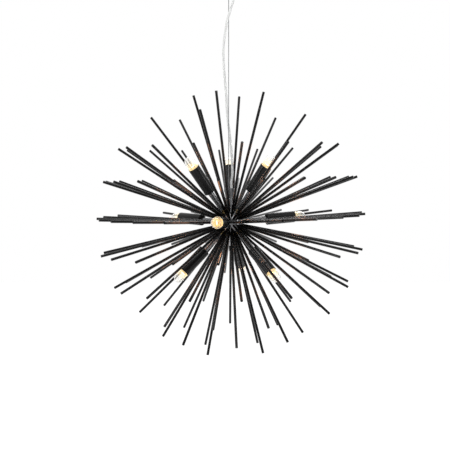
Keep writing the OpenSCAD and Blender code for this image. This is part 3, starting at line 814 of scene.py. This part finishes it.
class STARBURST_OT_bulbs(StarburstStep, bpy.types.Operator):
    """Makes the nine bulbs: glass, screw cap, lead wires and lit coil"""

    bl_idname = "starburst.bulbs"
    bl_label = "Bulbs"

    def execute(self, context):
        glow_in, glow_out = 16 * MM, 4 * MM
        for number, line in LAMPS.items():
            glass = f"bulb_glass_{number}"
            cap = f"bulb_cap_{number}"
            body = f"bulb_{number}"
            mouth = line.span("lamp_shades")[1]

            def painted_glow(points):
                """The share of painted glow on the glass, in place of the coil's light: 1 well inside
                the sleeve, easing to 0 a little beyond its mouth.
                """
                return 1 - ease((line.measure(points)[0] - mouth + glow_in) / (glow_in + glow_out))

            # the glass carries its share of painted glow as an attribute, which its material reads
            make_piece(
                f"envelope_{number}", self.envelope(line, glass), body,
                [self.finish().glass], [glass], share=("painted_glow", painted_glow),
            )
            self.screw_cap(line, number, cap, body)
            make_piece(
                f"lead_wires_{number}", self.lead_wires(line, cap), body,
                [self.finish().steel],
            )
            make_piece(
                f"coil_{number}", [self.coil(line, cap)], body, [self.finish().glow]
            )
        return {"FINISHED"}

    def stations(self, line, cap):
        """Heights along the lamp that the cap's node gives, and its radius: its tip, the
        shell's rim, and the coil, a little below its highest point."""
        coil_below = 0.55 * MM
        low, high, radius = line.span(cap)
        return low, low + CAP_RIM, high - coil_below, radius

    def envelope(self, line, glass):
        """A neck that swells to the bulb with a smooth step and ends in half a ball, its wall
        followed back inside at one thickness."""
        neck, past_holder, swell = 6.4 * MM, 0.3 * MM, 8.5 * MM
        low, tip, radius = line.span(glass)
        wall = self.sizes.glass_wall
        start = line.span("lamp_holders")[1] + past_holder
        z = np.concatenate([np.linspace(low, start, 4), np.linspace(start, start + swell, 14)[1:]])
        r = neck + (radius - neck) * ease((z - start) / swell)
        arc = np.linspace(0, np.pi / 2, 16)
        centre, inner = tip - radius, radius - wall
        outside = np.stack([r, z], -1)
        inside = np.stack([r - wall, z + wall * (z < low + wall)], -1)
        outer_end = np.stack([radius * np.cos(arc), centre + radius * np.sin(arc)], -1)
        inner_end = np.stack([inner * np.cos(arc), centre + inner * np.sin(arc)], -1)
        outer_end[-1, 0] = inner_end[-1, 0] = 0.0
        shell = np.vstack([inner_end[::-1], inside[::-1], outside, outer_end])
        glass_stem = turned(self.press(low), line, sides=24, ends="poles")
        return [turned(shell, line, sides=48, ends="poles"), glass_stem]

    def press(self, low):
        """The glass stem that carries the lead wires: a flared foot and a round-ended neck."""
        foot, neck, flare = 5.2 * MM, 2.0 * MM, 0.45
        start, top = low + 1.2 * MM, low + 18 * MM
        z = np.linspace(0, 1, 12)
        r = neck + (foot - neck) * (1 - ease(z / flare))
        arc = np.linspace(0, np.pi / 2, 7)[1:]
        flank = np.stack([r, start + z * (top - start - neck)], -1)
        end = np.stack([neck * np.cos(arc), top - neck + neck * np.sin(arc)], -1)
        end[-1, 0] = 0.0
        return np.vstack([[(0.0, start)], flank, end])

    def screw_cap(self, line, number, cap, body):
        """The threaded shell, the insulator below it and the solder at the tip."""
        tip, rim, _, radius = self.stations(line, cap)
        finish = self.finish()
        make_piece(
            f"screw_shell_{number}", [self.screw_shell(line, tip, rim, radius)], body,
            [finish.cap], [cap],
        )
        hole, low_radius, base, shoulder, soft = 1.5 * MM, 3.0 * MM, 1.0 * MM, 1.2 * MM, 0.3 * MM
        cone = [(low_radius, base), (radius - shoulder, CAP_EDGE), (radius - CAP_IN, CAP_THREAD)]
        cone = np.array(cone + [(hole, CAP_THREAD), (hole, base)]) + (0.0, tip)
        cone = turned(rounded(cone, [soft] * len(cone)), line, sides=32)
        make_piece(f"insulator_{number}", [cone], body, [finish.insulator])
        solder, deep, top = 2.8 * MM, 1.2 * MM, tip + 1.5 * MM
        arc = np.linspace(0, np.pi / 2, 6)
        dome = np.stack([solder * np.sin(arc), tip + deep * (1 - np.cos(arc))], -1)
        dome[0, 0] = 0.0
        dome = np.vstack([dome, [(solder, top), (0.0, top)]])
        dome = turned(dome, line, sides=24, ends="poles")
        make_piece(f"solder_tip_{number}", [dome], body, [finish.solder])

    def screw_shell(self, line, tip, rim, radius):
        """A round thread: the radius falls by half the depth times one less the cosine of
        (height / pitch - turn), and the thread fades out at both ends of the shell."""
        pitch, depth = self.sizes.thread_pitch, self.sizes.thread_depth
        edge, floor, rows = tip + CAP_EDGE, tip + 5 * MM, 64
        start, end = tip + CAP_THREAD, rim - 3.2 * MM

        def thread(turn, height):
            fade = ease((height - start) / pitch) * ease((end - height) / pitch)
            return -depth / 2 * (1 - np.cos(2 * np.pi * height / pitch - turn)) * fade

        outside = np.stack([np.full(rows, radius), np.linspace(edge, rim, rows)], -1)
        inner = radius - MM
        inside = [(inner, rim), (inner, floor), (radius - CAP_IN, edge)]
        return turned(np.vstack([outside, inside]), line, sides=40, wave=thread)

    def lead_wires(self, line, cap):
        """Two wires that rise through the press and lean apart to carry the coil."""
        tip, _, coil, _ = self.stations(line, cap)
        inner, outer, radius = 1.3 * MM, 4.5 * MM, 0.2 * MM
        start, bend, level = tip + 4 * MM, coil - 18 * MM, coil - 12 * MM
        parts = []
        for side in (-1, 1):
            corners = [(inner, start), (inner, bend), (outer, level), (outer, coil)]
            path = [line.origin + z * line.axis + side * r * line.x for r, z in corners]
            parts.append(swept(smooth_path(path, steps=6), radius, sides=8))
        return parts

    def coil(self, line, cap):
        """A helix between the two lead wires, its middle set back to the cap as a half sine."""
        _, _, top, _ = self.stations(line, cap)
        turns, span, winding, radius = self.sizes.coil_turns, 4.4 * MM, 0.42 * MM, 0.11 * MM
        below, sag = 0.2 * MM, 0.25 * MM
        steps = 10 * turns
        t = np.linspace(0, 1, steps + 1)[:, None]
        turn = 2 * np.pi * turns * t
        path = line.origin + (top - below - sag * np.sin(np.pi * t)) * line.axis
        path = path + span * (2 * t - 1) * line.x
        path = path + winding * (np.cos(turn) * line.axis + np.sin(turn) * line.y)
        return swept(path, radius, sides=5)


class STARBURST_OT_ceiling_trim(StarburstStep, bpy.types.Operator):
    """Makes the ribbed rings and the gland of the ceiling end"""

    bl_idname = "starburst.ceiling_trim"
    bl_label = "Ceiling trim"

    def execute(self, context):
        self.ribbed("canopy_ring", "ribbed_ring", "canopy", ribs=60, depth=0.25 * MM)
        self.ribbed("gripper_collar", "ribbed_collar", "collar", ribs=44, depth=0.2 * MM)
        self.gland()
        return {"FINISHED"}

    def ribbed(self, node, name, body, ribs, depth):
        """A steel ring whose outside is ribbed: the radius falls by depth times half of one
        less the cosine of ribs times the turn, and the ribs fade into plain bands at both
        edges."""
        low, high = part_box(node)
        radius, edge, rows = (high.x - low.x) / 2, 0.5 * MM, 9
        bore = upright(up=-1).near(node, cone=1.0)[1].min()
        start, end = low.z + edge, high.z - edge
        outside = np.stack([np.full(rows, radius), np.linspace(start, end, rows)], -1)
        below = [(bore, low.z), (radius - edge, low.z)]
        above = [(radius - edge, high.z), (bore, high.z)]

        def wave(turn, height):
            fade = ease((height - start) / edge) * ease((end - height) / edge)
            return -depth / 2 * (1 - np.cos(ribs * turn)) * fade

        outline = np.vstack([below, outside, above])
        ring = turned(outline, upright(), sides=6 * ribs, wave=wave)
        make_piece(name, [ring], body, [self.finish().steel], [node])

    def gland(self):
        """The gland's flange is ribbed for the fingers, and its nose tapers to the cable. The
        radius of the flange falls by the ribs' depth times half of one less the cosine of ribs
        times the turn."""
        low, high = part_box("canopy_gland")
        line = upright(middle("canopy_gland")[0])
        bore = CABLE_RADIUS + 0.3 * MM
        thread, flange, nose, end = 6.0 * MM, 8.0 * MM, 5.5 * MM, 4.7 * MM
        face = high.z - 7 * MM
        under = face - 7 * MM
        corners = [
            (bore, low.z), (end, low.z), (nose, under), (flange, under),
            (flange, face), (thread, face), (thread, high.z), (bore, high.z),
        ]
        low_round, high_round, end_round = 1.2 * MM, 0.5 * MM, 0.4 * MM
        soft = [
            0.3 * MM, 0.8 * MM, end_round, low_round,
            high_round, 0.1 * MM, end_round, 0.3 * MM,
        ]
        outline = rounded(corners, soft)
        rows = np.linspace(under + low_round, face - high_round, 8)[1:-1]
        band = np.stack([np.full(len(rows), flange), rows], -1)
        below_face = 4 * ARC_STEPS
        outline = np.vstack([outline[:below_face], band, outline[below_face:]])
        on_flange = outline[:, :1] > flange - 0.05 * MM
        ribs, depth, fade, rib_end = 24, 0.3 * MM, MM, 0.6 * MM

        def wave(turn, height):
            on = ease((height - under - low_round) / fade) * ease((face - rib_end - height) / fade)
            return -depth / 2 * (1 - np.cos(ribs * turn)) * on * on_flange

        make_piece(
            "cable_gland", [turned(outline, line, sides=6 * ribs, wave=wave)], "canopy",
            [self.finish().black_plastic], ["canopy_gland"],
        )


class STARBURST_OT_finishes(StarburstStep, bpy.types.Operator):
    """Gives every CAD node that still shows its finish"""

    bl_idname = "starburst.finishes"
    bl_label = "Finishes"

    def execute(self, context):
        for finish, starts in NODE_FINISH.items():
            material = getattr(self.finish(), finish)
            for name, obj in frame["nodes"].items():
                if name.startswith(starts):
                    obj.data.materials.clear()
                    obj.data.materials.append(material)
        return {"FINISHED"}


class STARBURST_OT_stage(StarburstStep, bpy.types.Operator):
    """Makes the floor, the white surroundings and the lights"""

    bl_idname = "starburst.stage"
    bl_label = "Stage"

    def execute(self, context):
        stage = context.scene.starburst_stage
        key, side = stage.key_power, stage.key_power * 0.65
        self.floor(stage.floor_depth)
        self.surroundings(context, stage)
        self.softbox("top", (0.0, -0.9, 0.9), 1.2, 1.2, key)
        self.softbox("left", (-1.85, -0.8, -0.45), 0.3, 1.5, side)
        self.softbox("right", (1.85, -0.8, -0.45), 0.3, 1.5, side)
        self.softbox("back", (0.4, 2.0, 0.4), 1.4, 1.4, side)
        context.scene.view_settings.view_transform = "Standard"
        return {"FINISHED"}

    def floor(self, depth):
        """A pale square floor that shows white, and lights nothing by itself."""
        half, white, shown = 12.0, (0.86, 0.86, 0.86), 0.62
        corners = np.array([(-half, -half), (half, -half), (half, half), (-half, half)])
        verts = np.column_stack([corners, np.full(4, -depth)])
        mesh = bpy.data.meshes.new("floor")
        mesh.from_pydata(verts.tolist(), [], [(0, 1, 2, 3)])
        material, tree, shader = new_material("floor", white, 0.7)
        shader.inputs["Emission Color"].default_value = (1, 1, 1, 1)
        straight, gloss = self.looks(tree)
        seen = math_node(tree, "MAXIMUM", straight, gloss)
        strength = math_node(tree, "MULTIPLY", seen, shown)
        tree.links.new(strength, shader.inputs["Emission Strength"])
        mesh.materials.append(material)
        new_object("floor", mesh)

    def looks(self, tree):
        """1 where the camera looks straight or through glass, and 1 where gloss looks."""
        ways = tree.nodes.new("ShaderNodeLightPath").outputs
        straight = math_node(tree, "MAXIMUM", ways["Is Camera Ray"], ways["Is Transmission Ray"])
        return straight, ways["Is Glossy Ray"]

    def surroundings(self, context, stage):
        """White to look at and through. Gloss finds it white too, but darker low in front, as a
        room is behind a viewer, and the rest is lit at the room's own strength."""
        world = bpy.data.worlds.new("room")
        world.use_nodes = True
        context.scene.world = world
        tree = world.node_tree
        light = tree.nodes["Background"]
        light.inputs["Color"].default_value = (1, 1, 1, 1)
        place = tree.nodes.new("ShaderNodeTexCoord")
        parts = tree.nodes.new("ShaderNodeSeparateXYZ")
        tree.links.new(place.outputs["Generated"], parts.inputs[0])
        behind = spread(tree, parts.outputs["Y"], (-0.7, 0.1), kind="SMOOTHSTEP")
        above = spread(tree, parts.outputs["Z"], (0.25, 0.75), kind="SMOOTHSTEP")
        open_side = math_node(tree, "MAXIMUM", behind, above)
        front = math_node(tree, "MULTIPLY", open_side, 1 - stage.front_gloss)
        front = math_node(tree, "ADD", front, stage.front_gloss)
        straight, gloss = self.looks(tree)
        more = math_node(tree, "SUBTRACT", front, stage.sky_strength)
        more = math_node(tree, "MULTIPLY", more, gloss)
        rest = math_node(tree, "ADD", more, stage.sky_strength)
        over = math_node(tree, "MULTIPLY", math_node(tree, "SUBTRACT", 1.0, rest), straight)
        tree.links.new(math_node(tree, "ADD", rest, over), light.inputs["Strength"])

    def softbox(self, name, place, width, height, power):
        """A soft rectangular light that faces the ball."""
        data = bpy.data.lights.new(name, "AREA")
        data.shape = "RECTANGLE"
        data.size, data.size_y = width, height
        data.energy = power
        point_at(new_object(name, data), place, HUB)


class STARBURST_OT_lamplight(StarburstStep, bpy.types.Operator):
    """Puts a small warm light in every bulb, for the sheen that it leaves on the rods around"""

    bl_idname = "starburst.lamplight"
    bl_label = "Lamplight"

    def execute(self, context):
        stage = context.scene.starburst_stage
        past_mouth, softness = 14 * MM, 22 * MM
        lit = bpy.data.collections.new("lit by the lamps")
        for name, obj in frame["nodes"].items():
            if name.startswith(("rods_", "hub_", "lamp_stems", "stem_nuts")):
                lit.objects.link(obj)
        for number, line in LAMPS.items():
            data = bpy.data.lights.new(f"lamplight_{number}", "POINT")
            data.shadow_soft_size = softness
            data.energy = stage.lamp_power
            data.color = stage.lamp_colour
            light = new_object(f"lamplight_{number}", data)
            light.location = line.origin + (line.span("lamp_shades")[1] + past_mouth) * line.axis
            light.parent = bpy.data.objects[f"coil_{number}"]
            light.visible_transmission = False
            light.light_linking.receiver_collection = lit
        return {"FINISHED"}


STEPS = [
    STARBURST_OT_camera,
    STARBURST_OT_cable,
    STARBURST_OT_wire,
    STARBURST_OT_shades,
    STARBURST_OT_bulbs,
    STARBURST_OT_ceiling_trim,
    STARBURST_OT_finishes,
    STARBURST_OT_stage,
    STARBURST_OT_lamplight,
]


class STARBURST_PT_panel(bpy.types.Panel):
    """Lists the steps and their settings in the sidebar"""

    bl_label = "Starburst pendant"
    bl_idname = "STARBURST_PT_panel"
    bl_space_type = "VIEW_3D"
    bl_region_type = "UI"
    bl_category = "Starburst"

    def draw(self, context):
        scene = context.scene
        for group in (scene.starburst_finish, scene.starburst_sizes, scene.starburst_stage):
            box = self.layout.box()
            for name in group.__annotations__:
                box.prop(group, name)
        for step in STEPS:
            self.layout.operator(step.bl_idname)


CLASSES = [StarburstFinish, StarburstSizes, StarburstStage, *STEPS, STARBURST_PT_panel]


def register():
    for item in CLASSES:
        bpy.utils.register_class(item)
    bpy.types.Scene.starburst_finish = PointerProperty(type=StarburstFinish)
    bpy.types.Scene.starburst_sizes = PointerProperty(type=StarburstSizes)
    bpy.types.Scene.starburst_stage = PointerProperty(type=StarburstStage)


def unregister():
    del bpy.types.Scene.starburst_stage
    del bpy.types.Scene.starburst_sizes
    del bpy.types.Scene.starburst_finish
    for item in reversed(CLASSES):
        bpy.utils.unregister_class(item)


def main():
    register()
    for step in STEPS:
        group, name = step.bl_idname.split(".")
        getattr(getattr(bpy.ops, group), name)()


if __name__ == "__main__":
    main()
